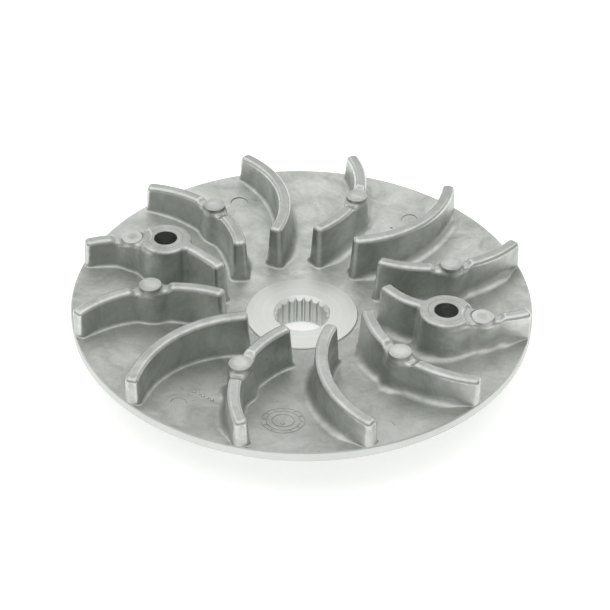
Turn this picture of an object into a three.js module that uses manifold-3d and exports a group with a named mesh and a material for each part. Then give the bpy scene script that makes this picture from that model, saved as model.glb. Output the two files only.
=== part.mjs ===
// Fixed half of a scooter's variator drive pulley, with its cooling fan cast on the back.
// Units are millimetres and +Z is up. The origin is on the axis, at the hub's back face.
// The belt runs on the cone underneath; the fan stands on top of the dished plate.

import * as THREE from "three";
import { mergeVertices } from "three/addons/utils/BufferGeometryUtils.js";
import Module from "manifold-3d";

const wasm = await Module();
wasm.setup();

// Plate
const RIM_RADIUS = 66.5;
const RIM_BOTTOM = 12.75;
const RIM_TOP = 15.87;
const RIM_CHAMFER = 0.3;
const BELT_FACE_ANGLE = 14.5;
const PLATE_TOP_AT_HUB = 9.6;
const PLATE_FACETS = 96;

// Hub
const HUB_RADIUS = 16.4;
const HUB_LENGTH = 10;
const HUB_EDGE_BREAK = 0.2;
const SPLINE_TEETH = 20;
const SPLINE_ROOT_RADIUS = 8;
const SPLINE_TIP_RADIUS = 7.25;
const SPACE_HALF_ANGLE_AT_ROOT = 1.4;
const SPACE_HALF_ANGLE_AT_TIP = 4.8;
const FRONT_CHAMFER_RADIUS = 8.4;
const BACK_CHAMFER_RADIUS = 8.4;

// Fan blades: each is an arc in plan, drawn on the +X axis and turned to its place.
const BLADE_COUNT = 12;
const BLADE_TOP = 23.8;
const BLADE_HALF_WIDTH = 1.85;
const BLADE_EDGE_RADIUS = 0.8;
const BLADE_DRAFT = 3;
const ARC_CENTRE = { x: 41, y: 33.8 };
const ARC_RADIUS = 33.65;
const ARC_ROOT_ANGLE = 240.4;
const ARC_TIP_ANGLE = 312;
const NOTCH_LEVEL = 22.8;
const NOTCH_RADIUS = 6.5;
const BOSS_NOTCH_LEVEL = 23.35;
const BOSS_NOTCH_RADIUS = 5.4;

// Posts and puller bosses, all on one circle but for the two posts beside the bosses
const POST_RADIUS = 3.2;
const POST_TOP = 24.3;
const POST_CIRCLE_RADIUS = 43.5;
const SIDE_POST_TOP = 23.7;
const SIDE_POST = { x: 53.35, y: 2.4 };
const BOSS_RADIUS = 7.5;
const BOSS_TOP = 24.44;
const BOSS_EDGE = 1;
const PULLER_HOLE_RADIUS = 3.4;
const PULLER_HOLE_CHAMFER = 0.1;

// Clearance that keeps neighbouring solids apart
const GAP = 0.3;

const radians = THREE.MathUtils.degToRad;
const CAST = { color: 0x9da19e, roughness: 0.55, metalness: 0.9 };
const MACHINED = { color: 0xd3d6d3, roughness: 0.3, metalness: 0.95 };

// Height of the plate's dished top at a distance from the axis
function plateTopAt(radius) {
  const slope = (RIM_TOP - PLATE_TOP_AT_HUB) / (RIM_RADIUS - HUB_RADIUS);
  return PLATE_TOP_AT_HUB + slope * (radius - HUB_RADIUS);
}

function toSolid(geometry) {
  const bare = geometry.clone();
  bare.deleteAttribute("normal");
  bare.deleteAttribute("uv");
  const merged = mergeVertices(bare, 1e-4);
  const mesh = new wasm.Mesh({
    numProp: 3,
    vertProperties: new Float32Array(merged.attributes.position.array),
    triVerts: new Uint32Array(merged.index.array),
  });
  return new wasm.Manifold(mesh);
}

function toGeometry(solid) {
  const { vertProperties, triVerts } = solid.getMesh();
  const geometry = new THREE.BufferGeometry();
  geometry.setAttribute("position", new THREE.BufferAttribute(vertProperties, 3));
  geometry.setIndex(new THREE.BufferAttribute(triVerts, 1));
  geometry.computeVertexNormals();
  return geometry;
}

// Body of revolution about +Z from [radius, height] points, listed upwards along the outside
function turned(profile, facets) {
  const points = profile.map(([radius, height]) => new THREE.Vector2(radius, height));
  const geometry = new THREE.LatheGeometry(points, facets);
  geometry.rotateX(Math.PI / 2);
  return toSolid(geometry);
}

function ring(profile, facets) {
  return turned([...profile, profile[0]], facets);
}

function column(radius, bottom, top, facets) {
  return turned([[0, bottom], [radius, bottom], [radius, top], [0, top]], facets);
}

// Everything below the plate's top, raised by the gap: it trims what stands on the plate
const belowPlateTop = turned(
  [
    [0, 0],
    [RIM_RADIUS + 1, 0],
    [RIM_RADIUS + 1, plateTopAt(RIM_RADIUS + 1) + GAP],
    [HUB_RADIUS, plateTopAt(HUB_RADIUS) + GAP],
    [0, plateTopAt(HUB_RADIUS) + GAP],
  ],
  PLATE_FACETS,
);

function pulleyPlate() {
  const bore = HUB_RADIUS + GAP;
  const backFaceRadius = RIM_RADIUS - RIM_BOTTOM / Math.tan(radians(BELT_FACE_ANGLE));
  const profile = [
    [bore, 0],
    [backFaceRadius, 0],
    [RIM_RADIUS - RIM_CHAMFER, RIM_BOTTOM],
    [RIM_RADIUS, RIM_BOTTOM + RIM_CHAMFER],
    [RIM_RADIUS, RIM_TOP - RIM_CHAMFER],
    [RIM_RADIUS - RIM_CHAMFER, RIM_TOP],
    [bore, plateTopAt(bore)],
  ];
  return ring(profile, PLATE_FACETS);
}

// Outline of the splined hole: one trapezoidal space per tooth, the first on the +X axis
function splineOutline() {
  const corners = [
    [SPLINE_TIP_RADIUS, -SPACE_HALF_ANGLE_AT_TIP],
    [SPLINE_ROOT_RADIUS, -SPACE_HALF_ANGLE_AT_ROOT],
    [SPLINE_ROOT_RADIUS, SPACE_HALF_ANGLE_AT_ROOT],
    [SPLINE_TIP_RADIUS, SPACE_HALF_ANGLE_AT_TIP],
  ];
  const points = [];
  for (let tooth = 0; tooth < SPLINE_TEETH; tooth += 1) {
    for (const [radius, offset] of corners) {
      const angle = radians((360 / SPLINE_TEETH) * tooth + offset);
      points.push(new THREE.Vector2(radius * Math.cos(angle), radius * Math.sin(angle)));
    }
  }
  return new THREE.Shape(points);
}

function splinedHub() {
  const outside = turned(
    [
      [0, 0],
      [HUB_RADIUS, 0],
      [HUB_RADIUS, HUB_LENGTH - HUB_EDGE_BREAK],
      [HUB_RADIUS - HUB_EDGE_BREAK, HUB_LENGTH],
      [0, HUB_LENGTH],
    ],
    PLATE_FACETS,
  );
  const broach = new THREE.ExtrudeGeometry(splineOutline(), {
    depth: HUB_LENGTH + 2,
    bevelEnabled: false,
  });
  broach.translate(0, 0, -1);
  const frontChamfer = turned(
    [[0, HUB_LENGTH - FRONT_CHAMFER_RADIUS], [FRONT_CHAMFER_RADIUS + 1, HUB_LENGTH + 1], [0, HUB_LENGTH + 1]],
    PLATE_FACETS,
  );
  const backChamfer = turned(
    [[0, -1], [BACK_CHAMFER_RADIUS + 1, -1], [0, BACK_CHAMFER_RADIUS]],
    PLATE_FACETS,
  );
  return outside.subtract(toSolid(broach)).subtract(frontChamfer).subtract(backChamfer);
}

function pointOnArc(angle) {
  return {
    x: ARC_CENTRE.x + ARC_RADIUS * Math.cos(radians(angle)),
    y: ARC_CENTRE.y + ARC_RADIUS * Math.sin(radians(angle)),
  };
}

// Angle on the blade's arc beside a point at the given distance along +X
function arcAngleAt(x) {
  return 270 + THREE.MathUtils.radToDeg(Math.asin((x - ARC_CENTRE.x) / ARC_RADIUS));
}

function vaneOutline(startAngle, endAngle) {
  const start = pointOnArc(startAngle);
  const end = pointOnArc(endAngle);
  const from = radians(startAngle);
  const to = radians(endAngle);
  const outline = new THREE.Shape();
  outline.absarc(ARC_CENTRE.x, ARC_CENTRE.y, ARC_RADIUS + BLADE_HALF_WIDTH, from, to, false);
  outline.absarc(end.x, end.y, BLADE_HALF_WIDTH, to, to + Math.PI, false);
  outline.absarc(ARC_CENTRE.x, ARC_CENTRE.y, ARC_RADIUS - BLADE_HALF_WIDTH, to, from, true);
  outline.absarc(start.x, start.y, BLADE_HALF_WIDTH, from + Math.PI, from + 2 * Math.PI, false);
  return outline;
}

// Draft: pushes each point away from the arc, further the lower it lies
function widenTowardsPlate(geometry, startAngle, endAngle) {
  const position = geometry.attributes.position;
  for (let i = 0; i < position.count; i += 1) {
    const x = position.getX(i);
    const y = position.getY(i);
    const bearing = THREE.MathUtils.radToDeg(Math.atan2(y - ARC_CENTRE.y, x - ARC_CENTRE.x)) + 360;
    const nearest = pointOnArc(THREE.MathUtils.clamp(bearing, startAngle, endAngle));
    const away = new THREE.Vector2(x - nearest.x, y - nearest.y);
    const widening = (BLADE_TOP - position.getZ(i)) * Math.tan(radians(BLADE_DRAFT));
    away.setLength(away.length() + widening);
    position.setXY(i, nearest.x + away.x, nearest.y + away.y);
  }
}

// A stretch of blade between two angles on its arc, standing on the plate
function vane(startAngle, endAngle, curveSegments) {
  const bottom = PLATE_TOP_AT_HUB - 2 * BLADE_EDGE_RADIUS;
  const geometry = new THREE.ExtrudeGeometry(vaneOutline(startAngle, endAngle), {
    depth: BLADE_TOP - bottom - 2 * BLADE_EDGE_RADIUS,
    curveSegments,
    bevelThickness: BLADE_EDGE_RADIUS,
    bevelSize: BLADE_EDGE_RADIUS,
    bevelOffset: -BLADE_EDGE_RADIUS,
    bevelSegments: 2,
  });
  geometry.translate(0, 0, bottom + BLADE_EDGE_RADIUS);
  widenTowardsPlate(geometry, startAngle, endAngle);
  return toSolid(geometry).subtract(belowPlateTop);
}

// A drafted round post; clearance grows it into the cutter for its neighbours
function post(centre, top, radius, clearance) {
  const bottom = PLATE_TOP_AT_HUB;
  const footRadius = radius + (top - bottom) * Math.tan(radians(BLADE_DRAFT));
  const height = top + clearance;
  return turned(
    [[0, bottom], [footRadius + clearance, bottom], [radius + clearance, height], [0, height]],
    24,
  ).translate(centre.x, centre.y, 0);
}

function ejectorPost(centre, top) {
  return post(centre, top, POST_RADIUS, 0).subtract(belowPlateTop);
}

// Room above the lowered land round a post
function notch(centre, radius, level) {
  return column(radius, level, BOSS_TOP + 1, 32).translate(centre.x, centre.y, 0);
}

// Removes a post's room from a vane, and lowers the vane's top beside it
function cutForPost(solid, centre, top) {
  const room = post(centre, top, POST_RADIUS, GAP);
  return solid.subtract(room).subtract(notch(centre, NOTCH_RADIUS, NOTCH_LEVEL));
}

function pullerBoss(centre) {
  const bottom = PLATE_TOP_AT_HUB;
  const footRadius = BOSS_RADIUS + (BOSS_TOP - bottom) * Math.tan(radians(BLADE_DRAFT));
  const body = ring(
    [
      [PULLER_HOLE_RADIUS, bottom],
      [footRadius, bottom],
      [BOSS_RADIUS, BOSS_TOP - BOSS_EDGE],
      [BOSS_RADIUS - 0.3 * BOSS_EDGE, BOSS_TOP - 0.3 * BOSS_EDGE],
      [BOSS_RADIUS - BOSS_EDGE, BOSS_TOP],
      [PULLER_HOLE_RADIUS + PULLER_HOLE_CHAMFER, BOSS_TOP],
      [PULLER_HOLE_RADIUS, BOSS_TOP - PULLER_HOLE_CHAMFER],
    ],
    32,
  );
  return body.translate(centre.x, centre.y, 0).subtract(belowPlateTop);
}

function plainBlade(label) {
  return { [`fan_blade_${label}`]: vane(ARC_ROOT_ANGLE, ARC_TIP_ANGLE, 6) };
}

// A blade with a round post in its middle
function postedBlade(label) {
  const centre = { x: POST_CIRCLE_RADIUS, y: 0 };
  const middle = arcAngleAt(centre.x);
  return {
    [`inner_vane_${label}`]: cutForPost(vane(ARC_ROOT_ANGLE, middle, 3), centre, POST_TOP),
    [`ejector_post_${label}`]: ejectorPost(centre, POST_TOP),
    [`outer_vane_${label}`]: cutForPost(vane(middle, ARC_TIP_ANGLE, 3), centre, POST_TOP),
  };
}

// A blade with a puller boss in its middle and a post just outside the boss
function bossBlade(label) {
  const centre = { x: POST_CIRCLE_RADIUS, y: 0 };
  const bossRoom = post(centre, BOSS_TOP, BOSS_RADIUS, GAP);
  const innerVane = vane(ARC_ROOT_ANGLE, arcAngleAt(centre.x), 3).subtract(bossRoom);
  const outerVane = vane(arcAngleAt(SIDE_POST.x), ARC_TIP_ANGLE, 3);
  const bossNotch = notch(SIDE_POST, BOSS_NOTCH_RADIUS, BOSS_NOTCH_LEVEL);
  return {
    [`inner_vane_${label}`]: innerVane,
    [`puller_boss_${label}`]: pullerBoss(centre).subtract(bossNotch),
    [`ejector_post_${label}`]: ejectorPost(SIDE_POST, SIDE_POST_TOP).subtract(bossRoom),
    [`outer_vane_${label}`]: cutForPost(outerVane, SIDE_POST, SIDE_POST_TOP),
  };
}

function meshOf(name, solid, look) {
  const mesh = new THREE.Mesh(toGeometry(solid), new THREE.MeshStandardMaterial(look));
  mesh.name = name;
  return mesh;
}

// Bosses face each other; the other blades are posted and plain by turns
function bladeKind(index) {
  if (index % (BLADE_COUNT / 2) === 0) {
    return bossBlade;
  }
  return index % 2 === 1 ? postedBlade : plainBlade;
}

const pulley = new THREE.Group();
pulley.add(meshOf("pulley_plate", pulleyPlate(), CAST));
pulley.add(meshOf("splined_hub", splinedHub(), MACHINED));
for (let index = 0; index < BLADE_COUNT; index += 1) {
  const label = String(index + 1).padStart(2, "0");
  const blade = new THREE.Group();
  blade.rotation.z = radians((360 / BLADE_COUNT) * index);
  for (const [name, solid] of Object.entries(bladeKind(index)(label))) {
    blade.add(meshOf(name, solid, CAST));
  }
  pulley.add(blade);
}

export default pulley;
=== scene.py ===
# Looks for the fixed half of a scooter's drive pulley: a cast aluminium plate with a splined
# hub and twelve fan blades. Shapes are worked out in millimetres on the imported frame's axes and
# become metres when a piece is placed. The real part is one casting, so the blades are cut
# from smooth fields and share their shading across the seams between pieces.

import math

import bmesh
import bpy
import numpy as np
from mathutils import Matrix, Vector


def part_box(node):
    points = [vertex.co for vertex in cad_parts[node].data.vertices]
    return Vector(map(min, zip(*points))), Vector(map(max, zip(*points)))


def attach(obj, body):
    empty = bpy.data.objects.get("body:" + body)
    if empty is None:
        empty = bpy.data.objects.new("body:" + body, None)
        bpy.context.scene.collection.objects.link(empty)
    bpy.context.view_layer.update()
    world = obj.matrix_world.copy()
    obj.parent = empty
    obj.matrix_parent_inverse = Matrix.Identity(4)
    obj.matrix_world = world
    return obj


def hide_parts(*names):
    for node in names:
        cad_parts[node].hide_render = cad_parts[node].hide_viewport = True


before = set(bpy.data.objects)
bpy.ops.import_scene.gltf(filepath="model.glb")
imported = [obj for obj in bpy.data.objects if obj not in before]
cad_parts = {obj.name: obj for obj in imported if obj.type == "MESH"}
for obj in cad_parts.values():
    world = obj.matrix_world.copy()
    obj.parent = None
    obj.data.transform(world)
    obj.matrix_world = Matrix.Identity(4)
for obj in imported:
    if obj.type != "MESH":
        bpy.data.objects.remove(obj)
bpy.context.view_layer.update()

MM = 0.001


def box_top(node):
    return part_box(node)[1] / MM


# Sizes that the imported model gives
RIM_RADIUS = box_top("pulley_plate").x
RIM_TOP = box_top("pulley_plate").z
HUB_RADIUS = box_top("splined_hub").x
HUB_LENGTH = box_top("splined_hub").z
BLADE_TOP = box_top("fan_blade_03").z
POST_TOP = box_top("ejector_post_02").z
SIDE_POST_TOP = box_top("ejector_post_01").z
BOSS_TOP = box_top("puller_boss_01").z

# Plate
RIM_BOTTOM = 12.75
RIM_CHAMFER = 0.3
BELT_FACE_ANGLE = math.radians(14.5)
PLATE_TOP_AT_HUB = 9.6
PLATE_SLOPE = (RIM_TOP - PLATE_TOP_AT_HUB) / (RIM_RADIUS - HUB_RADIUS)
HUB_CLEARANCE = 0.02
SEGMENTS = 288

# Hub
HUB_EDGE = 0.2
SPLINE_TEETH = 20
SPLINE_ROOT_RADIUS = 8.0
SPLINE_TIP_RADIUS = 7.25
SPACE_HALF_ANGLE_AT_ROOT = math.radians(1.4)
SPACE_HALF_ANGLE_AT_TIP = math.radians(4.8)
FRONT_CHAMFER_RADIUS = 8.4
BACK_CHAMFER_RADIUS = 8.4
SPLINE_ROOT_ROUND = 0.12
ROOT_FLAT_SHARE = 0.6
ROOT_ROUND_SHARE = 1.25

# Blades, drawn on +X and turned to their places
BLADE_COUNT = 12
BLADE_HALF_WIDTH = 1.85
BLADE_EDGE = 1.15
BLADE_END_EDGE = 1.3
ROOT_END = 1.42
TIP_END = 1.85
DRAFT = math.radians(3)
ARC_CENTRE = (41, 33.8)
ARC_RADIUS = 33.65
ARC_ROOT_ANGLE = math.radians(240.4)
ARC_TIP_ANGLE = math.radians(312)
FOOT_FILLET = 2.6
HOLLOW_FOOT_FILLET = 1.1
RIM_FOOT_FILLET = 0.35
FOOT_CHANGE = (60, 65.5)
ROOT_FOOT_FILLET = 0.7
ROOT_FOOT_CHANGE = (22, 27)
NOTCH_LEVEL = 22.8
NOTCH_STEP = (4.7, 6.6)
BOSS_NOTCH_LEVEL = 23.35
BOSS_NOTCH_STEP = (5.0, 5.9)

# Posts and puller bosses
POST_RADIUS = 3.2
POST_FILLET = 0.7
POST_SIDE_FILLET = 2.2
PAD_CHAMFER = 0.18
PAD_RUB_WIDTH = 0.55
PAD_RUB_DEPTH = 0.004
PAD_TRIM_OVERHANG = 0.05
POSTED_TRIM_REACH = 1
BOSS_TRIM_REACH = 0.1
RAISED_TAPER = 0.6
POST_CIRCLE_RADIUS = 43.5
POST = (POST_CIRCLE_RADIUS, 0)
SIDE_POST = (53.35, 2.4)
BOSS_RADIUS = 7.5
BOSS_EDGE = 0.9
BOSS_INNER_FILLET = 1.1
BOSS_OUTER_FILLET = 5
BOSS_OUTER_CHANGE = (-1, 2)
BOSS_WEB_FILLET = 0.02
BOSS_RISE = (6, 15)
PULLER_HOLE_RADIUS = 3.4
PULLER_HOLE_CHAMFER = 0.1
RING_RADIUS = 5.1
RING_DEPTH = 0.1

# Marks cast into the plate, placed by distance from the axis and bearing in degrees. Each
# ejector dent then gives its radius and depth; the last and smallest one is a pore.
EJECTOR_DENTS = (
    (53.7, 133.8, 2.8, 0.3),
    (53.5, 74.0, 2.6, 0.18),
    (58.9, -45.5, 2.6, 0.1),
    (56.4, -103.5, 2.3, 0.14),
    (47.3, 76.7, 0.45, 0.3),
)
DENT_WALL = 0.15
DENT_LIP = 0.1
DIAL_PLACE = (52.0, -73.0)
DIAL_RINGS = (5.8, 4.5, 2.9)
DIAL_LINE = 0.3
DIAL_HEIGHT = 0.2
DIAL_EDGE = 0.05
DIAL_TICKS = 12
TICK_MARGIN = 0.3
POINTER_MARGIN = 0.6
POINTER_HALF_WIDTH = 0.2
POINTER_HEAD_LENGTH = 0.9
POINTER_HEAD_HALF_WIDTH = 0.7
CAVITY_DOT_RADIUS = 49.8
CAVITY_DOT_BEARING = -103.5
CAVITY_DOT_SPACING = 1.5
CAVITY_DOTS = 5
DOT_PROFILE = ((0.5, 0.15), (0.36, 0.32), (0, 0.4))
MARK_ROOT = -0.3

# How the casting is divided into pieces
FOOTPRINT_HALF_WIDTH = 5.5
POST_FOOTPRINT_RADIUS = 7.0
BOSS_FOOTPRINT_RADIUS = 11.0
POCKET_DEPTH = 0.25
POST_CUT_RADIUS = 3.35
BOSS_CUT_RADIUS = 8.6
SCRAP_VERTICES = 20

# Cutting tools reach this far, which is past anything they cut
FAR = 40

# Surface finding: the grid round one blade, and how its points are then drawn onto the surface
NET_STEP = 0.4
NET_LOW = (17.6, -11.6, 8.3)
NET_HIGH = (70.0, 15.6, 26.3)
NET_PASSES = 4
NET_LONGEST_MOVE = 0.9 * NET_STEP

# Shading: when a face counts as lying on its field, and where the belt side's finish begins
FIELD_TOLERANCE = 0.08
NORMAL_AGREEMENT = 0.8
BEND_REACH = 0.4
BEND_LIMIT = 1.5
SHARP_ANGLE = math.radians(32)
BELT_SIDE_DEPTH = 0.6


# ---------------------------------------------------------------- fields, in millimetres
# A field is negative inside a shape, positive outside it and close to the distance near it.


def smooth_step(low, high, value):
    """Rises smoothly from 0 at low to 1 at high."""
    share = np.clip((value - low) / (high - low), 0, 1)
    return share * share * (3 - 2 * share)


def rounded_corner(a, b, radius):
    """What is inside both fields, with the edge between them rounded."""
    bulge = np.hypot(np.maximum(a + radius, 0), np.maximum(b + radius, 0))
    return np.minimum(np.maximum(a, b), -radius) + bulge


def filleted(a, b, radius):
    """What is inside either field, with the hollow between them filled to a radius."""
    hollow = np.hypot(np.maximum(radius - a, 0), np.maximum(radius - b, 0))
    return np.maximum(np.minimum(a, b), radius) - hollow


def plate_top_at(radius):
    return PLATE_TOP_AT_HUB + PLATE_SLOPE * (radius - HUB_RADIUS)


def ground_field(points):
    """How far points stand above the plate's sloping top."""
    radius = np.hypot(points[:, 0], points[:, 1])
    return (points[:, 2] - plate_top_at(radius)) * math.cos(math.atan(PLATE_SLOPE))


def distance_from(points, centre):
    return np.hypot(points[:, 0] - centre[0], points[:, 1] - centre[1])


def drafted(distance, half_width, top, height):
    """A wall at half_width where its top is, leaning outwards below it."""
    return (distance - half_width - (top - height) * math.tan(DRAFT)) * math.cos(DRAFT)


def vane_walls(points):
    """Both sides of a blade and its squared ends, without a top."""
    across = points[:, :2] - ARC_CENTRE
    reach = np.hypot(*across.T)
    bearing = np.arctan2(across[:, 1], across[:, 0]) % (2 * math.pi)
    middle = (ARC_ROOT_ANGLE + ARC_TIP_ANGLE) / 2
    past_end = np.abs(bearing - middle) - (ARC_TIP_ANGLE - middle)
    side = drafted(np.abs(reach - ARC_RADIUS), BLADE_HALF_WIDTH, BLADE_TOP, points[:, 2])
    end_length = np.where(bearing < middle, ROOT_END, TIP_END)
    end = drafted(reach * np.sin(past_end), end_length, BLADE_TOP, points[:, 2])
    return rounded_corner(side, end, BLADE_END_EDGE)


def notched(points, post, step, level, top):
    """A top that steps down to the land round a post."""
    return level + (top - level) * smooth_step(*step, distance_from(points, post))


def post_walls(points, centre, top):
    return drafted(distance_from(points, centre), POST_RADIUS, top, points[:, 2])


def raised(points, walls):
    """The part of a column that rises out of the lands beside it, drawn in below them."""
    below = np.maximum(NOTCH_LEVEL - BLADE_EDGE - points[:, 2], 0)
    return walls + RAISED_TAPER * below


def plain_body(points):
    """A blade without posts."""
    return rounded_corner(vane_walls(points), points[:, 2] - BLADE_TOP, BLADE_EDGE)


def posted_body(points):
    """A blade with a post standing out of it, and lower lands on both sides of the post."""
    post = post_walls(points, POST, POST_TOP)
    around = filleted(vane_walls(points), post, POST_SIDE_FILLET)
    top = notched(points, POST, NOTCH_STEP, NOTCH_LEVEL, BLADE_TOP)
    web = rounded_corner(around, points[:, 2] - top, BLADE_EDGE)
    return filleted(web, raised(points, post), POST_FILLET)


def boss_body(points):
    """A blade that swells into a puller boss, with a lower post and its lands just outside."""
    to_boss = distance_from(points, POST)
    height = points[:, 2]
    outer = smooth_step(*BOSS_OUTER_CHANGE, points[:, 0] - POST[0])
    boss = drafted(to_boss, BOSS_RADIUS, BOSS_TOP, height)
    post = post_walls(points, SIDE_POST, SIDE_POST_TOP)
    flare = BOSS_INNER_FILLET + (BOSS_OUTER_FILLET - BOSS_INNER_FILLET) * outer
    around = filleted(vane_walls(points), boss, flare)
    around = filleted(around, post, POST_SIDE_FILLET)
    past_post = smooth_step(-POST_RADIUS, POST_RADIUS, points[:, 0] - SIDE_POST[0])
    land = BOSS_NOTCH_LEVEL + (NOTCH_LEVEL - BOSS_NOTCH_LEVEL) * past_post
    rise = (BOSS_TOP - BLADE_TOP) * (1 - smooth_step(*BOSS_RISE, to_boss))
    top = notched(points, SIDE_POST, NOTCH_STEP, land, BLADE_TOP)
    rise *= points[:, 0] < POST[0]
    web = rounded_corner(around, height - top - rise, BLADE_EDGE)
    boss_top = notched(points, SIDE_POST, BOSS_NOTCH_STEP, BOSS_NOTCH_LEVEL, BOSS_TOP)
    boss = rounded_corner(boss, height - boss_top, BOSS_EDGE)
    post_top = SIDE_POST_TOP + BLADE_EDGE / 3
    post = rounded_corner(raised(points, post), height - post_top, BLADE_EDGE / 3)
    with_boss = filleted(web, boss, BOSS_WEB_FILLET + POST_FILLET * outer)
    return filleted(with_boss, post, POST_FILLET)


def cast_field(body):
    """A blade's body on the plate, its foot tighter on the hollow side and at both ends."""
    def field(points):
        past_arc = distance_from(points, ARC_CENTRE) - ARC_RADIUS
        outside = smooth_step(-BLADE_HALF_WIDTH, BLADE_HALF_WIDTH, past_arc)
        fillet = HOLLOW_FOOT_FILLET + (FOOT_FILLET - HOLLOW_FOOT_FILLET) * outside
        radius = np.hypot(points[:, 0], points[:, 1])
        fillet += (RIM_FOOT_FILLET - fillet) * smooth_step(*FOOT_CHANGE, radius)
        fillet += (ROOT_FOOT_FILLET - fillet) * (1 - smooth_step(*ROOT_FOOT_CHANGE, radius))
        return filleted(body(points), ground_field(points), fillet)

    return field


def gradient(field, points, step=0.02):
    """How fast a field grows along each axis."""
    slopes = np.empty_like(points)
    for axis in range(3):
        shift = np.zeros(3)
        shift[axis] = step
        slopes[:, axis] = (field(points + shift) - field(points - shift)) / (2 * step)
    return slopes


def unit(vectors):
    return vectors / np.maximum(np.linalg.norm(vectors, axis=1, keepdims=True), 1e-9)


# ---------------------------------------------------------------- meshes, in millimetres


def solid(points, faces):
    mesh = bpy.data.meshes.new("solid")
    mesh.from_pydata(np.asarray(points, float).tolist(), [], faces)
    mesh.update()
    return mesh


def grid_values(field):
    """The grid's node numbers and the field at them, made positive on the grid's outside."""
    low = np.array(NET_LOW)
    counts = np.ceil((np.array(NET_HIGH) - low) / NET_STEP).astype(int) + 1
    nodes = np.stack(np.meshgrid(*map(np.arange, counts), indexing="ij"), -1)
    values = field(low + nodes.reshape(-1, 3) * NET_STEP).reshape(counts)
    for axis in range(3):
        for end in (0, -1):
            np.moveaxis(values, axis, 0)[end] = NET_STEP
    return nodes, values


def crossed_edges(nodes, values, axis):
    """Which grid edges along an axis the surface crosses, and where it crosses them."""
    flat = np.moveaxis(values, axis, 0)
    before, after = flat[:-1], flat[1:]
    crossed = np.moveaxis((before < 0) != (after < 0), 0, axis)
    share = np.moveaxis(before / np.where(before == after, 1, before - after), 0, axis)
    at = nodes[tuple(slice(0, size) for size in crossed.shape)].astype(float)
    at[..., axis] += np.clip(share, 0, 1)
    return crossed, at


def beside(axis):
    """The other two axes."""
    return [other for other in range(3) if other != axis]


def net_points(edges, cells):
    """One point per crossed cell, at the mean of its crossings, and each cell's point number."""
    total = np.zeros((*cells, 3))
    hits = np.zeros(cells)
    for axis, (crossed, at) in enumerate(edges):
        across, along = beside(axis)
        for first in (0, 1):
            for second in (0, 1):
                window = [slice(None)] * 3
                window[across] = slice(first, first + cells[across])
                window[along] = slice(second, second + cells[along])
                window = tuple(window)
                total += np.where(crossed[window][..., None], at[window], 0)
                hits += crossed[window]
    used = hits > 0
    numbers = np.full(cells, -1)
    numbers[used] = np.arange(used.sum())
    return np.array(NET_LOW) + total[used] / hits[used][:, None] * NET_STEP, numbers


def net_faces(edges, values, numbers):
    """A four-sided face round every crossed edge, turned to face outwards."""
    faces = []
    for axis, (crossed, _) in enumerate(edges):
        across, along = beside(axis)
        starts = np.argwhere(crossed)
        corners = []
        for first, second in ((-1, -1), (0, -1), (0, 0), (-1, 0)):
            cell = starts.copy()
            cell[:, across] += first
            cell[:, along] += second
            corners.append(numbers[tuple(cell.T)])
        quads = np.stack(corners, 1)
        inside_first = values[tuple(starts.T)] < 0
        flip = inside_first == (axis == 1)
        quads[flip] = quads[flip][:, ::-1]
        faces.extend(quads.tolist())
    return faces


def surface_net(field):
    """Closed mesh round the places where the field is negative."""
    nodes, values = grid_values(field)
    edges = [crossed_edges(nodes, values, axis) for axis in range(3)]
    found, numbers = net_points(edges, np.array(values.shape) - 1)
    faces = net_faces(edges, values, numbers)
    for _ in range(NET_PASSES):
        value = field(found)
        slope = gradient(field, found)
        move = value[:, None] * slope / np.maximum((slope**2).sum(1, keepdims=True), 0.25)
        move[np.abs(value) > NET_LONGEST_MOVE] = 0
        found -= move
    return solid(found, faces)


def lathe(profile, segments=SEGMENTS):
    """Body of revolution; the [radius, height] profile runs upwards along the outside."""
    turns = np.arange(segments) * 2 * math.pi / segments
    points, rows, faces = [], [], []
    for radius, height in profile:
        start = len(points)
        if radius == 0:
            points.append((0, 0, height))
            rows.append([start] * segments)
            continue
        points.extend(
            (radius * math.cos(turn), radius * math.sin(turn), height) for turn in turns
        )
        rows.append(list(range(start, start + segments)))
    for lower, upper in zip(rows, rows[1:] + rows[:1]):
        for i in range(segments):
            j = (i + 1) % segments
            face = list(dict.fromkeys((lower[i], lower[j], upper[j], upper[i])))
            if len(face) > 2:
                faces.append(face)
    return solid(points, faces)


def prism(outline, low, high):
    """Upright prism on an anticlockwise outline."""
    count = len(outline)
    points = [(x, y, low) for x, y in outline] + [(x, y, high) for x, y in outline]
    faces = [list(range(count))[::-1], list(range(count, 2 * count))]
    for i in range(count):
        j = (i + 1) % count
        faces.append([i, j, count + j, count + i])
    return solid(points, faces)


def circle(centre, radius, segments=96):
    """Plan outline of a circle."""
    turns = np.arange(segments) * 2 * math.pi / segments
    return [
        (centre[0] + radius * math.cos(turn), centre[1] + radius * math.sin(turn))
        for turn in turns
    ]


def moved(mesh, x=0, y=0, turn=0):
    copy = mesh.copy()
    copy.transform(Matrix.Rotation(turn, 4, "Z") @ Matrix.Translation((x, y, 0)))
    return copy


def joined(meshes):
    """One mesh of several that don't touch."""
    whole = bmesh.new()
    for mesh in meshes:
        whole.from_mesh(mesh)
    result = bpy.data.meshes.new("joined")
    whole.to_mesh(result)
    whole.free()
    return result


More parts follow.
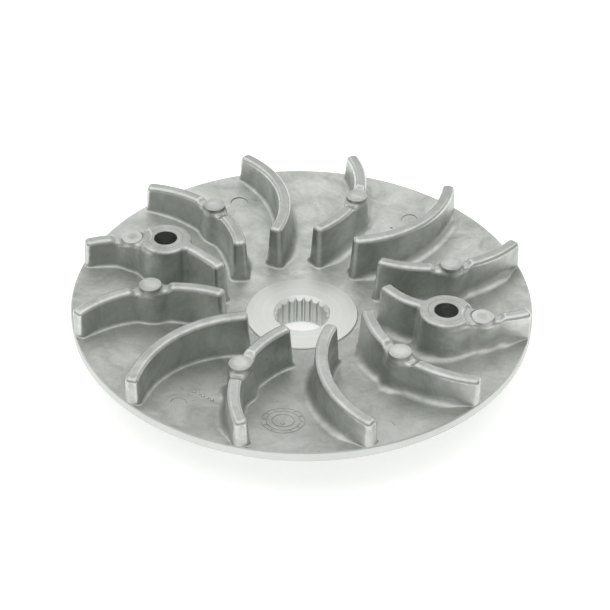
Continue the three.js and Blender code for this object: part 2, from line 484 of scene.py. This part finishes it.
def cut(mesh, tool, operation="DIFFERENCE"):
    """A new mesh: the boolean of mesh and tool."""
    holder = bpy.data.objects.new("holder", mesh)
    cutter = bpy.data.objects.new("cutter", tool)
    bpy.context.scene.collection.objects.link(holder)
    bpy.context.scene.collection.objects.link(cutter)
    modifier = holder.modifiers.new("cut", "BOOLEAN")
    modifier.object = cutter
    modifier.operation = operation
    modifier.solver = "MANIFOLD"
    graph = bpy.context.evaluated_depsgraph_get()
    result = bpy.data.meshes.new_from_object(holder.evaluated_get(graph))
    bpy.data.objects.remove(holder)
    bpy.data.objects.remove(cutter)
    result.materials.clear()
    if not result.polygons:
        raise RuntimeError(f"{operation} left nothing")
    return result


def without_scraps(mesh):
    """Deletes the slivers that a boolean can leave loose beside a piece."""
    work = bmesh.new()
    work.from_mesh(mesh)
    unseen = set(work.verts)
    while unseen:
        island = set()
        reached = {unseen.pop()}
        while reached:
            island |= reached
            linked = {edge.other_vert(vert) for vert in reached for edge in vert.link_edges}
            reached = linked - island
        unseen -= island
        if len(island) <= SCRAP_VERTICES:
            bmesh.ops.delete(work, geom=list(island), context="VERTS")
    work.to_mesh(mesh)
    work.free()


def array_of(items, key, width, kind=float):
    """A mesh collection's values as a numpy array with one row per item."""
    values = np.empty(len(items) * width, kind)
    items.foreach_get(key, values)
    return values.reshape(-1, width) if width > 1 else values


# ---------------------------------------------------------------- shading


def loop_data(mesh):
    """Corner points, and the centre and normal of each corner's face."""
    vertices = array_of(mesh.vertices, "co", 3)
    corners = vertices[array_of(mesh.loops, "vertex_index", 1, int)]
    sizes = array_of(mesh.polygons, "loop_total", 1, int)
    centres = np.repeat(array_of(mesh.polygons, "center", 3), sizes, 0)
    normals = np.repeat(array_of(mesh.polygons, "normal", 3), sizes, 0)
    return corners, centres, normals


def field_normals(mesh, field):
    """Normals from the field where a face lies on it; zero, which keeps the face's, elsewhere."""
    corners, centres, face_normals = loop_data(mesh)
    just_inside = corners + 0.1 * (centres - corners)
    slopes = unit(gradient(field, just_inside))
    agrees = (unit(gradient(field, centres)) * face_normals).sum(1) > NORMAL_AGREEMENT
    on_field = np.abs(field(centres)) < FIELD_TOLERANCE
    return np.where((agrees & on_field)[:, None], slopes, 0)


def outward_directions(points):
    """Plan directions away from the axis."""
    return points[:, :2] / np.maximum(np.hypot(*points[:, :2].T), 1e-6)[:, None]


def turned_normals(mesh):
    """Normals of a turned surface, exact round the axis; zero where a face isn't turned."""
    corners, centres, face_normals = loop_data(mesh)
    radial = outward_directions(centres)
    bearing = outward_directions(corners)
    outwards = (face_normals[:, :2] * radial).sum(1)
    sideways = np.abs(face_normals[:, 0] * radial[:, 1] - face_normals[:, 1] * radial[:, 0])
    normals = np.column_stack([bearing * outwards[:, None], face_normals[:, 2]])
    on_top = (np.abs(ground_field(centres)) < 0.01) & (face_normals[:, 2] > 0.9)
    slope = np.array([-PLATE_SLOPE, 1]) / math.hypot(PLATE_SLOPE, 1)
    exact = np.column_stack([bearing * slope[0], np.full(len(bearing), slope[1])])
    normals = np.where(on_top[:, None], exact, normals)
    return np.where((sideways < 0.02)[:, None], unit(normals), 0)


def mark_edges(mesh, field):
    """Stores how sharply the surface bends: positive on outer edges, negative in fillets."""
    points = array_of(mesh.vertices, "co", 3)
    bend = -6 * field(points)
    for axis in range(3):
        shift = np.zeros(3)
        shift[axis] = BEND_REACH
        bend += field(points + shift) + field(points - shift)
    values = np.clip(bend / BEND_REACH**2, -BEND_LIMIT, BEND_LIMIT).astype(np.float32)
    mesh.attributes.new("edge", "FLOAT", "POINT").data.foreach_set("value", values)


def place(mesh, name, normals, materials, cad_node):
    """Turns a millimetre mesh into a piece of the object that stands for one CAD node."""
    mesh.name = name
    mesh.transform(Matrix.Scale(MM, 4))
    mesh.shade_smooth()
    mesh.set_sharp_from_angle(angle=SHARP_ANGLE)
    mesh.normals_split_custom_set(normals.tolist())
    for material in materials:
        mesh.materials.append(material)
    piece = bpy.data.objects.new(name, mesh)
    bpy.context.scene.collection.objects.link(piece)
    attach(piece, "root")
    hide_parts(cad_node)


def finish_faces(mesh, is_turned):
    """Gives the second material to the faces whose centres is_turned picks."""
    centres = array_of(mesh.polygons, "center", 3)
    mesh.polygons.foreach_set("material_index", is_turned(centres).astype(int))


# ---------------------------------------------------------------- materials


def node(tree, kind, inputs=None, **properties):
    """Adds a shader node. Its inputs are given as constants or as the sockets that feed them."""
    made = tree.nodes.new("ShaderNode" + kind)
    for name, value in properties.items():
        setattr(made, name, value)
    for name, value in (inputs or {}).items():
        if isinstance(value, bpy.types.NodeSocket):
            tree.links.new(value, made.inputs[name])
        else:
            made.inputs[name].default_value = value
    return made


def noise(tree, vector, scale, detail, roughness=0.5, distortion=0.0):
    inputs = {
        "Vector": vector,
        "Scale": scale,
        "Detail": detail,
        "Roughness": roughness,
        "Distortion": distortion,
    }
    return node(tree, "TexNoise", inputs).outputs["Fac"]


def remap(tree, value, old_low, old_high, new_low, new_high):
    inputs = {
        "Value": value,
        "From Min": old_low,
        "From Max": old_high,
        "To Min": new_low,
        "To Max": new_high,
    }
    return node(tree, "MapRange", inputs).outputs["Result"]


def maths(tree, operation, first, second):
    return node(tree, "Math", {0: first, 1: second}, operation=operation).outputs[0]


def blend_colour(tree, factor, first, second):
    made = node(tree, "Mix", data_type="RGBA")
    for index, value in ((0, factor), (6, first), (7, second)):
        if isinstance(value, bpy.types.NodeSocket):
            tree.links.new(value, made.inputs[index])
        else:
            made.inputs[index].default_value = value
    return made.outputs[2]


def bump(tree, height, strength, distance):
    inputs = {"Height": height, "Strength": strength, "Distance": distance}
    return node(tree, "Bump", inputs).outputs["Normal"]


def grey(level, tint=0.0):
    """An opaque grey; a positive tint leans it towards a yellowish green."""
    return (level * (1 - tint), level, level * (1 - 1.5 * tint), 1)


def new_material(name):
    """A material with its node tree, its shader and the point being shaded, in metres."""
    material = bpy.data.materials.new(name)
    material.use_nodes = True
    tree = material.node_tree
    shader = tree.nodes["Principled BSDF"]
    place_on_part = node(tree, "TexCoord").outputs["Object"]
    return material, tree, shader, place_on_part


def link(tree, shader, **sockets):
    for name, socket in sockets.items():
        tree.links.new(socket, shader.inputs[name.replace("_", " ")])


def scaled(tree, value, factor):
    return maths(tree, "MULTIPLY", value, factor)


def weighted_sum(tree, *terms):
    """The sum of (value, weight) pairs."""
    total = scaled(tree, *terms[0])
    for value, weight in terms[1:]:
        total = maths(tree, "ADD", total, scaled(tree, value, weight))
    return total


def cast_aluminium():
    """Die-cast skin: cloudy flow marks, fine grain, small pits, edges brightened for wear and as
    a painted highlight, painted shade on the tops.
    """
    material, tree, shader, at = new_material("cast_aluminium_skin")
    cloud = noise(tree, at, 26, 3, 0.5, 0.8)
    flow = noise(tree, at, 95, 6, 0.62, 0.9)
    grain = noise(tree, at, 700, 4, 0.7)
    speck = noise(tree, at, 460, 2, 0.5)

    # Convex edges are coloured brighter, partly as rubbed wear and partly as a painted highlight
    # where the edges catch the light.
    edge = node(tree, "Attribute", attribute_name="edge").outputs["Fac"]
    uneven = remap(tree, grain, 0.35, 0.65, 0.7, 1.2)
    wear_and_highlight = remap(tree, maths(tree, "MULTIPLY", edge, uneven), 0.25, 0.9, 0.0, 1.0)
    # Painted shade: the tops of the blades and posts are coloured darker than the plate.
    height = node(tree, "SeparateXYZ", {"Vector": at}).outputs["Z"]
    painted_top_shade = remap(tree, height, 0.0230, 0.0236, 0.0, 0.35)
    pits = remap(tree, speck, 0.68, 0.74, 0.0, 1.0)

    mottled = weighted_sum(tree, (flow, 0.55), (cloud, 0.25), (grain, 0.2))
    mottled = remap(tree, mottled, 0.39, 0.61, 0.0, 1.0)
    colour = blend_colour(tree, mottled, grey(0.43, 0.04), grey(0.64, 0.03))
    # Painted shade on the tops.
    colour = blend_colour(tree, painted_top_shade, colour, grey(0.40, 0.035))
    colour = blend_colour(tree, scaled(tree, pits, 0.15), colour, grey(0.25))
    # Wear and painted highlight: brightens the convex edges.
    colour = blend_colour(tree, scaled(tree, wear_and_highlight, 0.3), colour, grey(0.82, 0.02))

    rough = remap(tree, flow, 0.3, 0.7, 0.52, 0.40)
    rough = maths(tree, "SUBTRACT", rough, scaled(tree, wear_and_highlight, 0.14))
    relief = maths(tree, "ADD", scaled(tree, grain, 0.3), flow)
    relief = maths(tree, "SUBTRACT", relief, scaled(tree, pits, 0.2))
    normal = bump(tree, relief, 0.5, 0.00022)
    shader.inputs["Metallic"].default_value = 1.0
    link(tree, shader, Base_Color=colour, Roughness=rough, Normal=normal)
    return material


def painted_bore_shade_and_chamfer_light(tree, colour, radius, height):
    """Painted shade darkens the bore's walls below the chamfer, and painted light brightens the
    chamfer itself.
    """
    # Painted shade: the bore's walls below the chamfer are coloured darker.
    in_bore = remap(tree, radius, 0.0076, 0.0080, 1.0, 0.0)
    below_chamfer = remap(tree, height, 0.0084, 0.0089, 0.45, 0.0)
    bore = maths(tree, "MULTIPLY", in_bore, below_chamfer)
    colour = blend_colour(tree, bore, colour, grey(0.42, 0.03))
    # Painted light: the chamfer is coloured brighter, making up for the dark surroundings it
    # reflects.
    in_chamfer = remap(tree, radius, 0.0084, 0.0085, 1.0, 0.0)
    on_chamfer = remap(tree, height, 0.0086, 0.009, 0.0, 1.0)
    chamfer = maths(tree, "MULTIPLY", in_chamfer, on_chamfer)
    return blend_colour(tree, chamfer, colour, grey(0.97, 0.02))


def machined_aluminium(name, dull, bright):
    """Turned metal: fine concentric tool marks with a silky sheen across them, with painted shade
    in the bore and painted light on its chamfer.
    """
    material, tree, shader, at = new_material(name)
    parts = node(tree, "SeparateXYZ", {"Vector": at}).outputs
    x_squared = maths(tree, "MULTIPLY", parts["X"], parts["X"])
    y_squared = maths(tree, "MULTIPLY", parts["Y"], parts["Y"])
    radius = maths(tree, "POWER", maths(tree, "ADD", x_squared, y_squared), 0.5)
    profile = node(tree, "CombineXYZ", {"X": radius, "Y": parts["Z"]}).outputs["Vector"]
    grooves = noise(tree, profile, 3200, 2, 0.6)
    bands = noise(tree, profile, 500, 3, 0.6)
    haze = noise(tree, at, 60, 3, 0.5)

    shade = remap(tree, weighted_sum(tree, (bands, 0.6), (haze, 0.4)), 0.35, 0.65, 0.0, 1.0)
    colour = blend_colour(tree, shade, grey(dull, 0.03), grey(bright, 0.025))
    # Adds the painted shade in the bore and the painted light on the chamfer.
    colour = painted_bore_shade_and_chamfer_light(tree, colour, radius, parts["Z"])
    rough = remap(tree, bands, 0.3, 0.7, 0.42, 0.52)
    normal = bump(tree, grooves, 0.25, 0.00002)
    tangent = node(tree, "Tangent", direction_type="RADIAL", axis="Z").outputs["Tangent"]
    shader.inputs["Metallic"].default_value = 1.0
    shader.inputs["Anisotropic"].default_value = 0.1
    link(tree, shader, Base_Color=colour, Roughness=rough, Normal=normal, Tangent=tangent)
    return material


def pale_floor():
    """Nearly white paper sweep that glows a little, so its tone stays even."""
    material, tree, shader, at = new_material("pale_floor")
    tone = noise(tree, at, 4, 2, 0.5)
    colour = blend_colour(tree, tone, grey(0.93), grey(0.95))
    shader.inputs["Roughness"].default_value = 0.9
    shader.inputs["Emission Color"].default_value = (1, 1, 1, 1)
    shader.inputs["Emission Strength"].default_value = FLOOR_GLOW
    link(tree, shader, Base_Color=colour)
    return material


CAST = cast_aluminium()
TURNED_HUB = machined_aluminium("machined_aluminium_hub", 0.71, 0.80)
# Painted shade: the rim and the belt side get a darker copy of the hub's turned metal, which
# tones down the bright floor they reflect.
TURNED_PAINTED_DARKER = machined_aluminium("machined_aluminium_rim_painted_darker", 0.60, 0.69)


# ---------------------------------------------------------------- blades


def on_turned_rim(centres):
    """Picks faces of the rim's edge and its chamfers."""
    return np.hypot(centres[:, 0], centres[:, 1]) > RIM_RADIUS - 0.9 * RIM_CHAMFER


def band_outline(half_width, arc_steps=72, cap_steps=24):
    """Plan of a strip round the blade's arc with round ends."""
    def ends(angle):
        return (
            ARC_CENTRE[0] + ARC_RADIUS * math.cos(angle),
            ARC_CENTRE[1] + ARC_RADIUS * math.sin(angle),
        )

    def sweep(centre, radius, start, stop, steps):
        angles = np.linspace(start, stop, steps, endpoint=False)
        x = centre[0] + radius * np.cos(angles)
        y = centre[1] + radius * np.sin(angles)
        return list(zip(x.tolist(), y.tolist()))

    root, tip = ARC_ROOT_ANGLE, ARC_TIP_ANGLE
    return (
        sweep(ARC_CENTRE, ARC_RADIUS + half_width, root, tip, arc_steps)
        + sweep(ends(tip), half_width, tip, tip + math.pi, cap_steps)
        + sweep(ARC_CENTRE, ARC_RADIUS - half_width, tip, root, arc_steps)
        + sweep(ends(root), half_width, root + math.pi, root + 2 * math.pi, cap_steps)
    )


def footprint(discs):
    """Room that a blade takes out of the plate's top, open upwards."""
    low, high = 5, 30
    room = prism(band_outline(FOOTPRINT_HALF_WIDTH), low, high)
    for centre, radius in discs:
        room = cut(room, prism(circle(centre, radius), low - 1, high + 1), "UNION")
    wide = RIM_RADIUS + 2 * FOOTPRINT_HALF_WIDTH + 1
    under_floor = lathe([
        (0, 0),
        (wide, 0),
        (wide, plate_top_at(wide) - POCKET_DEPTH),
        (HUB_RADIUS, plate_top_at(HUB_RADIUS) - POCKET_DEPTH),
        (0, plate_top_at(HUB_RADIUS) - POCKET_DEPTH),
    ])
    return cut(room, under_floor)


def pad_trimmer(centre, top, reach):
    """Cuts a post off flat at its top, rubbed a little lower round the pad and chamfered."""
    return moved(lathe([
        (0, top),
        (POST_RADIUS - PAD_RUB_WIDTH, top),
        (POST_RADIUS - PAD_CHAMFER, top - PAD_RUB_DEPTH),
        (POST_RADIUS + PAD_TRIM_OVERHANG, top - PAD_CHAMFER),
        (reach, top - PAD_CHAMFER),
        (reach, top + 5),
        (0, top + 5),
    ], 96), *centre)


def puller_hole_tools():
    """The blind puller hole with its chamfer, and the fine ring scribed round it."""
    floor = float(plate_top_at(POST_CIRCLE_RADIUS))
    hole = lathe([
        (0, floor),
        (PULLER_HOLE_RADIUS, floor + 0.01),
        (PULLER_HOLE_RADIUS, BOSS_TOP - PULLER_HOLE_CHAMFER),
        (PULLER_HOLE_RADIUS + PULLER_HOLE_CHAMFER + 1, BOSS_TOP + 1),
        (0, BOSS_TOP + 1),
    ], 96)
    ring = lathe([
        (RING_RADIUS, BOSS_TOP - RING_DEPTH),
        (RING_RADIUS + 2 * RING_DEPTH, BOSS_TOP + RING_DEPTH),
        (RING_RADIUS - 2 * RING_DEPTH, BOSS_TOP + RING_DEPTH),
    ], 96)
    return [moved(hole, *POST), moved(ring, *POST)]


def half_space():
    """Everything on the axis side of the posts' circle."""
    x = POST_CIRCLE_RADIUS
    return prism([(0, -FAR), (x, -FAR), (x, FAR), (0, FAR)], -5, FAR)


def cast_blade(body, room, trims):
    """A whole blade: its field's surface inside its footprint, cut at the rim and trimmed."""
    whole = cut(surface_net(cast_field(body)), room, "INTERSECT")
    rim = lathe([
        (0, 0),
        (RIM_RADIUS, 0),
        (RIM_RADIUS, RIM_TOP - RIM_CHAMFER),
        (RIM_RADIUS - RIM_CHAMFER, RIM_TOP),
        (RIM_RADIUS - RIM_CHAMFER, FAR),
        (0, FAR),
    ])
    whole = cut(whole, rim, "INTERSECT")
    for tool in trims:
        whole = cut(whole, tool)
    return whole


def shaded(pieces, body):
    """Marks each piece's edges and pairs the piece with its normals."""
    field = cast_field(body)
    for mesh in pieces.values():
        without_scraps(mesh)
        mark_edges(mesh, field)
    return {name: (mesh, field_normals(mesh, field)) for name, mesh in pieces.items()}


def plain_blade():
    """The room and the one piece of a blade without posts."""
    room = footprint([])
    return room, shaded({"fan_blade": cast_blade(plain_body, room, [])}, plain_body)


def posted_blade():
    """The room and the three pieces of a blade with a post in the middle."""
    room = footprint([(POST, POST_FOOTPRINT_RADIUS)])
    pad = pad_trimmer(POST, POST_TOP, POST_RADIUS + POSTED_TRIM_REACH)
    whole = cast_blade(posted_body, room, [pad])
    post_room = prism(circle(POST, POST_CUT_RADIUS), 0, FAR)
    vanes = cut(whole, post_room)
    pieces = {
        "ejector_post": cut(whole, post_room, "INTERSECT"),
        "inner_vane": cut(vanes, half_space(), "INTERSECT"),
        "outer_vane": cut(vanes, half_space()),
    }
    return room, shaded(pieces, posted_body)


def boss_blade():
    """The room and the four pieces of a blade with a puller boss and a post beside it."""
    room = footprint([(POST, BOSS_FOOTPRINT_RADIUS), (SIDE_POST, POST_FOOTPRINT_RADIUS)])
    pad = pad_trimmer(SIDE_POST, SIDE_POST_TOP, POST_RADIUS + BOSS_TRIM_REACH)
    whole = cast_blade(boss_body, room, [pad, *puller_hole_tools()])
    post_room = prism(circle(SIDE_POST, POST_CUT_RADIUS), 0, FAR)
    boss_room = prism(circle(POST, BOSS_CUT_RADIUS), 0, FAR)
    rest = cut(whole, post_room)
    vanes = cut(rest, boss_room)
    pieces = {
        "ejector_post": cut(whole, post_room, "INTERSECT"),
        "puller_boss": cut(rest, boss_room, "INTERSECT"),
        "inner_vane": cut(vanes, half_space(), "INTERSECT"),
        "outer_vane": cut(vanes, half_space()),
    }
    return room, shaded(pieces, boss_body)


def place_blade(index, parts):
    """Places one blade's pieces, turned to the blade's place on the plate."""
    turn = 2 * math.pi * index / BLADE_COUNT
    spin = np.array(Matrix.Rotation(turn, 3, "Z"))
    for part, (mesh, normals) in parts.items():
        copy = moved(mesh, turn=turn)
        finish_faces(copy, on_turned_rim)
        name = f"{part}_{index + 1:02d}"
        finishes = [CAST, TURNED_PAINTED_DARKER]
        place(copy, name + "_cast", normals @ spin.T, finishes, name)


def make_blades():
    """Makes all the blades and returns the rooms they need in the plate's top."""
    kinds = {"boss": boss_blade(), "posted": posted_blade(), "plain": plain_blade()}
    rooms = []
    for index in range(BLADE_COUNT):
        kind = "posted" if index % 2 else "plain"
        if index % (BLADE_COUNT // 2) == 0:
            kind = "boss"
        room, parts = kinds[kind]
        place_blade(index, parts)
        rooms.append(moved(room, turn=2 * math.pi * index / BLADE_COUNT))
    return rooms


# ---------------------------------------------------------------- plate and hub


def on_plate(radius, bearing):
    """A point of the plate's top, given by its distance from the axis and its bearing."""
    angle = math.radians(bearing)
    return Vector((radius * math.cos(angle), radius * math.sin(angle), plate_top_at(radius)))


def lying_on_plate(mesh, radius, bearing):
    """Moves a mesh drawn round the origin onto the plate's top and tilts it to the slope."""
    copy = mesh.copy()
    tilt = Matrix.Rotation(-math.atan(PLATE_SLOPE), 4, "Y")
    turn = Matrix.Rotation(math.radians(bearing), 4, "Z")
    copy.transform(Matrix.Translation(on_plate(radius, bearing)) @ turn @ tilt)
    return copy


def ejector_dents():
    """Shallow round dents that the mould's ejector pins leave."""
    clear = 2
    dents = []
    for radius, bearing, size, depth in EJECTOR_DENTS:
        dent = lathe([
            (0, -depth),
            (size - DENT_WALL, -depth),
            (size, DENT_LIP),
            (size + 0.1, clear),
            (0, clear),
        ], 64)
        dents.append(lying_on_plate(dent, radius, bearing))
    return dents


def dial_ring(radius):
    """A fine raised ring with its top edges broken."""
    inner = radius - DIAL_LINE / 2
    outer = radius + DIAL_LINE / 2
    return lathe([
        (outer, MARK_ROOT),
        (outer, DIAL_HEIGHT - DIAL_EDGE),
        (outer - DIAL_EDGE, DIAL_HEIGHT),
        (inner + DIAL_EDGE, DIAL_HEIGHT),
        (inner, DIAL_HEIGHT - DIAL_EDGE),
        (inner, MARK_ROOT),
    ], 96)


def dial_tick(number):
    """A short line across the band between the two outer rings."""
    inner = DIAL_RINGS[1] + TICK_MARGIN
    outer = DIAL_RINGS[0] - TICK_MARGIN
    half = DIAL_LINE / 2
    outline = [(inner, -half), (outer, -half), (outer, half), (inner, half)]
    tick = prism(outline, MARK_ROOT, DIAL_HEIGHT)
    return moved(tick, turn=2 * math.pi * number / DIAL_TICKS)


def dial_pointer():
    """An arrow inside the inner ring."""
    tip = DIAL_RINGS[2] - POINTER_MARGIN
    neck = tip - POINTER_HEAD_LENGTH
    outline = [
        (-tip, -POINTER_HALF_WIDTH),
        (neck, -POINTER_HALF_WIDTH),
        (neck, -POINTER_HEAD_HALF_WIDTH),
        (tip, 0),
        (neck, POINTER_HEAD_HALF_WIDTH),
        (neck, POINTER_HALF_WIDTH),
        (-tip, POINTER_HALF_WIDTH),
    ]
    return prism(outline, MARK_ROOT, DIAL_HEIGHT)


def date_dial():
    """A plain foundry dial: three raised rings, a tick for each month and a pointer."""
    rings = [dial_ring(radius) for radius in DIAL_RINGS]
    ticks = [dial_tick(number) for number in range(DIAL_TICKS)]
    return lying_on_plate(joined([*rings, *ticks, dial_pointer()]), *DIAL_PLACE)


def cavity_dots():
    """A short row of raised dots, such as a foundry uses to tell one cavity from another."""
    foot = DOT_PROFILE[0][0]
    dot = lathe([(0, MARK_ROOT), (foot, MARK_ROOT), *DOT_PROFILE], 24)
    step = math.degrees(CAVITY_DOT_SPACING / CAVITY_DOT_RADIUS)
    return [
        lying_on_plate(dot, CAVITY_DOT_RADIUS, CAVITY_DOT_BEARING + step * number)
        for number in range(CAVITY_DOTS)
    ]


def turned_on_plate(centres):
    """Picks the belt side and the rim, which are machined."""
    off_top = centres[:, 2] - plate_top_at(np.hypot(centres[:, 0], centres[:, 1]))
    return (off_top < -BELT_SIDE_DEPTH) | on_turned_rim(centres)


def make_plate(rooms):
    """The dished plate with the belt cone under it and a shallow pocket under every blade."""
    back_radius = RIM_RADIUS - RIM_BOTTOM / math.tan(BELT_FACE_ANGLE)
    bore = HUB_RADIUS + HUB_CLEARANCE
    plate = lathe([
        (bore, 0),
        (back_radius, 0),
        (RIM_RADIUS - RIM_CHAMFER, RIM_BOTTOM),
        (RIM_RADIUS, RIM_BOTTOM + RIM_CHAMFER),
        (RIM_RADIUS, RIM_TOP - RIM_CHAMFER),
        (RIM_RADIUS - RIM_CHAMFER, RIM_TOP),
        (bore, plate_top_at(bore)),
    ])
    plate = cut(plate, joined(rooms + ejector_dents()))
    plate = cut(plate, joined([date_dial(), *cavity_dots()]), "UNION")
    finish_faces(plate, turned_on_plate)
    finishes = [CAST, TURNED_PAINTED_DARKER]
    normals = turned_normals(plate)
    place(plate, "pulley_plate_cast", normals, finishes, "pulley_plate")


def spline_outline():
    """Plan of the splined hole: a space between teeth every pitch, the first on +X."""
    half_pitch = math.pi / SPLINE_TEETH
    flat_end = SPACE_HALF_ANGLE_AT_ROOT * ROOT_FLAT_SHARE
    round_end = SPACE_HALF_ANGLE_AT_ROOT * ROOT_ROUND_SHARE
    space = (
        (SPLINE_TIP_RADIUS, -SPACE_HALF_ANGLE_AT_TIP),
        (SPLINE_ROOT_RADIUS - SPLINE_ROOT_ROUND, -round_end),
        (SPLINE_ROOT_RADIUS, -flat_end),
        (SPLINE_ROOT_RADIUS, flat_end),
        (SPLINE_ROOT_RADIUS - SPLINE_ROOT_ROUND, round_end),
        (SPLINE_TIP_RADIUS, SPACE_HALF_ANGLE_AT_TIP),
        (SPLINE_TIP_RADIUS, half_pitch),
    )
    outline = []
    for tooth in range(SPLINE_TEETH):
        middle = 2 * math.pi * tooth / SPLINE_TEETH
        for radius, offset in space:
            angle = middle + offset
            outline.append((radius * math.cos(angle), radius * math.sin(angle)))
    return outline


def make_hub():
    """The short turned hub with its splined bore, chamfered at both ends."""
    hub = lathe([
        (0, 0),
        (HUB_RADIUS, 0),
        (HUB_RADIUS, HUB_LENGTH - HUB_EDGE),
        (HUB_RADIUS - HUB_EDGE, HUB_LENGTH),
        (0, HUB_LENGTH),
    ])
    hub = cut(hub, prism(spline_outline(), -1, HUB_LENGTH + 1))
    hub = cut(hub, lathe([
        (0, HUB_LENGTH - FRONT_CHAMFER_RADIUS),
        (FRONT_CHAMFER_RADIUS + 1, HUB_LENGTH + 1),
        (0, HUB_LENGTH + 1),
    ]))
    hub = cut(hub, lathe([
        (0, -1),
        (BACK_CHAMFER_RADIUS + 1, -1),
        (0, BACK_CHAMFER_RADIUS),
    ]))
    normals = turned_normals(hub)
    place(hub, "splined_hub_turned", normals, [TURNED_HUB], "splined_hub")


# ---------------------------------------------------------------- studio


CAMERA_AZIMUTH = math.radians(21.9)
CAMERA_ELEVATION = math.radians(38.02)
CAMERA_ROLL = math.radians(0.94)
CAMERA_DISTANCE = 493.6
CAMERA_LENS = 99.885
CAMERA_SHIFT = (0.00546, 0.01264)
CAMERA_SENSOR = 36
FLOOR_HALF_SIZE = 3.0
FLOOR_STEPS = 12
FLOOR_GLOW = 0.42
WORLD_STRENGTH = 0.46

# Name, place and aim in metres, size in metres, power in watts
SOFTBOXES = (
    ("overhead_softbox", (-0.28, 0.25, 0.8), (-0.28, 0.25, 0), (1.7, 1.8), 7.5),
    ("back_softbox", (0.45, 1.1, 0.13), (0, 0, 0.02), (1.8, 0.26), 2.0),
    ("left_softbox", (-1.1, 0.3, 0.13), (0, 0, 0.02), (1.4, 0.26), 1.2),
)


def make_camera():
    """A long lens that looks down at the hub's front face."""
    azimuth, elevation = CAMERA_AZIMUTH, CAMERA_ELEVATION
    right = Vector((math.cos(azimuth), math.sin(azimuth), 0))
    back = Vector((
        math.sin(azimuth) * math.cos(elevation),
        -math.cos(azimuth) * math.cos(elevation),
        math.sin(elevation),
    ))
    up = back.cross(right)
    roll = Matrix.Rotation(-CAMERA_ROLL, 3, -back)
    data = bpy.data.cameras.new("camera")
    data.lens = CAMERA_LENS
    data.sensor_width = CAMERA_SENSOR
    data.shift_x, data.shift_y = CAMERA_SHIFT
    camera = bpy.data.objects.new("camera", data)
    axes = Matrix((roll @ right, roll @ up, back)).transposed()
    target = Vector((0, 0, HUB_LENGTH))
    place_at = (target + back * CAMERA_DISTANCE) * MM
    camera.matrix_world = Matrix.Translation(place_at) @ axes.to_4x4()
    bpy.context.scene.collection.objects.link(camera)
    bpy.context.scene.camera = camera


def make_floor():
    """A wide flat floor under the hub's back face."""
    ticks = np.linspace(-FLOOR_HALF_SIZE, FLOOR_HALF_SIZE, FLOOR_STEPS + 1)
    points = [(x, y, 0) for y in ticks for x in ticks]
    width = len(ticks)
    faces = []
    for row in range(FLOOR_STEPS):
        for column in range(FLOOR_STEPS):
            corner = row * width + column
            faces.append((corner, corner + 1, corner + width + 1, corner + width))
    floor = bpy.data.objects.new("floor", solid(points, faces))
    floor.data.materials.append(pale_floor())
    bpy.context.scene.collection.objects.link(floor)


def softbox(name, place_at, aim, size, power):
    """A rectangular soft light that faces its aim."""
    data = bpy.data.lights.new(name, "AREA")
    data.shape = "RECTANGLE"
    data.size, data.size_y = size
    data.energy = power
    light = bpy.data.objects.new(name, data)
    light.location = place_at
    direction = Vector(aim) - Vector(place_at)
    light.rotation_mode = "QUATERNION"
    light.rotation_quaternion = direction.to_track_quat("-Z", "Y")
    bpy.context.scene.collection.objects.link(light)


def make_lights():
    world = bpy.data.worlds.new("studio")
    world.use_nodes = True
    background = world.node_tree.nodes["Background"]
    background.inputs["Color"].default_value = (1, 1, 1, 1)
    background.inputs["Strength"].default_value = WORLD_STRENGTH
    bpy.context.scene.world = world
    for settings in SOFTBOXES:
        softbox(*settings)
    bpy.context.scene.view_settings.view_transform = "Standard"


make_camera()
blade_rooms = make_blades()
make_plate(blade_rooms)
make_hub()
make_floor()
make_lights()
